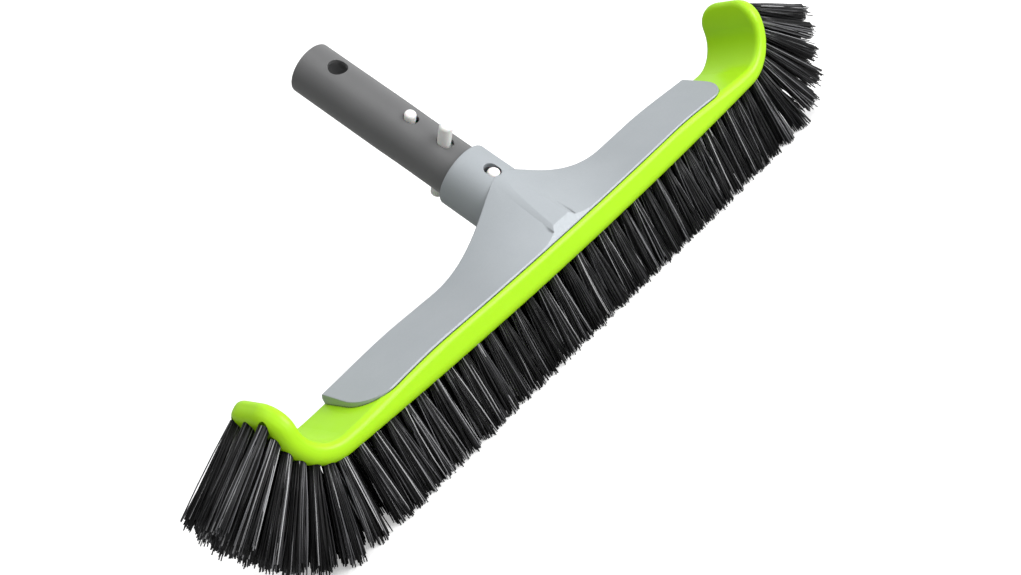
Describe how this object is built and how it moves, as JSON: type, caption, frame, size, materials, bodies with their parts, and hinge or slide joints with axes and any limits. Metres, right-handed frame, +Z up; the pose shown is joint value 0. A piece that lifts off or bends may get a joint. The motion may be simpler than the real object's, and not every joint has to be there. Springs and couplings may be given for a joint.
{
  "type": "pool wall brush",
  "caption": "Long wall brush with a gently arched moulded bar, curled ends, nylon bristle tufts, a metal back with an angled collar, and a hollow spring-clip spigot for a telescopic pole.",
  "frame": {"origin": "centre of the flat-trimmed bristle tips, under the middle of the bar", "axes": "+X along the brush, +Y towards the side the pole handle leans to, +Z up, away from the bristle tips"},
  "size_m": [0.4484, 0.1484, 0.1602],
  "materials": {
    "lime_plastic": "glossy moulded lime green plastic",
    "satin_aluminium": "satin cast aluminium, light grey",
    "dark_tube": "smooth dark grey tube",
    "white_nylon": "white moulded nylon",
    "screw_steel": "stainless steel",
    "bristle_nylon": "black nylon filaments",
    "anchor_brass": "plain brass strip"
  },
  "bodies": {
    "brush": {"brush_base": "lime_plastic", "mounting_bracket": "satin_aluminium", "pole_adaptor_tube": "dark_tube", "locking_clip_bow": "white_nylon", "retainer_clip_bow": "white_nylon", "bracket_screws": "screw_steel", "front_row_tufts": "bristle_nylon", "front_row_anchors": "anchor_brass", "front_middle_row_tufts": "bristle_nylon", "front_middle_row_anchors": "anchor_brass", "centre_row_tufts": "bristle_nylon", "centre_row_anchors": "anchor_brass", "back_middle_row_tufts": "bristle_nylon", "back_middle_row_anchors": "anchor_brass", "back_row_tufts": "bristle_nylon", "back_row_anchors": "anchor_brass"},
    "locking_upper_side": {"locking_clip_upper_leg": "white_nylon"},
    "locking_lower_side": {"locking_clip_lower_leg": "white_nylon"},
    "retainer_upper_side": {"retainer_clip_upper_leg": "white_nylon"},
    "retainer_lower_side": {"retainer_clip_lower_leg": "white_nylon"}
  },
  "joints": [
    {"name": "locking_upper_press", "type": "hinge", "parent": "brush", "child": "locking_upper_side", "pos_m": [0, 0.094, 0.13194], "axis": [1, 0, 0], "range_deg": [0, 5.2]},
    {"name": "locking_lower_press", "type": "hinge", "parent": "brush", "child": "locking_lower_side", "pos_m": [0, 0.0979, 0.12738], "axis": [1, 0, 0], "range_deg": [-5.2, 0]},
    {"name": "retainer_upper_press", "type": "hinge", "parent": "brush", "child": "retainer_upper_side", "pos_m": [0, 0.01584, 0.07255], "axis": [-1, 0, 0], "range_deg": [0, 14]},
    {"name": "retainer_lower_press", "type": "hinge", "parent": "brush", "child": "retainer_lower_side", "pos_m": [0, 0.02702, 0.05948], "axis": [-1, 0, 0], "range_deg": [-14, 0]}
  ],
  "couplings": [
    {"joint": "locking_lower_press", "follows": "locking_upper_press", "ratio": -1},
    {"joint": "retainer_lower_press", "follows": "retainer_upper_press", "ratio": -1}
  ]
}
